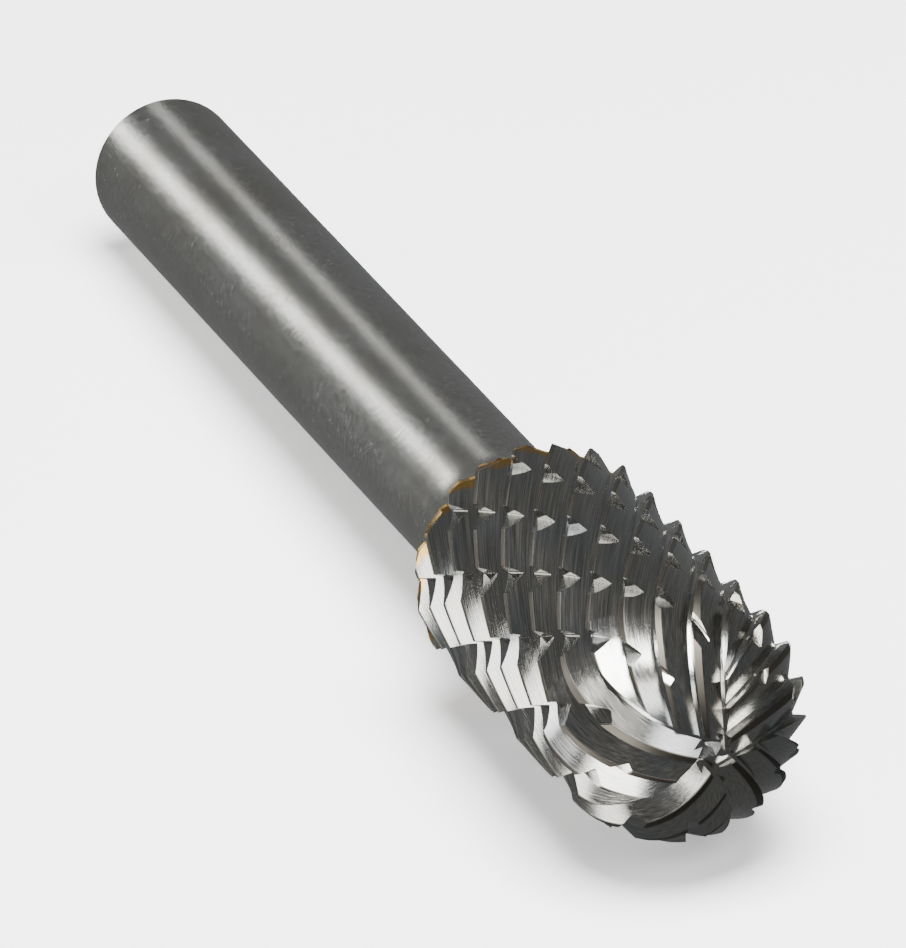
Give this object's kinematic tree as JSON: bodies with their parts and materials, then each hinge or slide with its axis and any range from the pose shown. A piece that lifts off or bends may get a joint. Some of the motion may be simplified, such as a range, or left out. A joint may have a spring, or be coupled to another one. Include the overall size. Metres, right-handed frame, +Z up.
{
  "type": "carbide burr",
  "caption": "Double-cut rotary burr: a ball-nosed cylindrical carbide head with crossing flutes, brazed to a round steel shank for a collet.",
  "frame": {"origin": "on the surface that the burr lies on, under the centre of its bounding box", "axes": "+Z up; +X from the shank end towards the tip, with the burr's own axis 2.5 degrees above +X because the head is thicker than the shank"},
  "size_m": [0.065, 0.01, 0.0106],
  "materials": {
    "ground_steel": "centreless-ground steel with fine marks round the shank",
    "braze": "brass-coloured brazing alloy, lightly heat-tinted",
    "ground_carbide": "ground tungsten carbide, bright on the facets and dark in the flutes"
  },
  "bodies": {
    "root": {"shank": "ground_steel", "braze_joint": "braze", "carbide_head": "ground_carbide"}
  },
  "joints": []
}
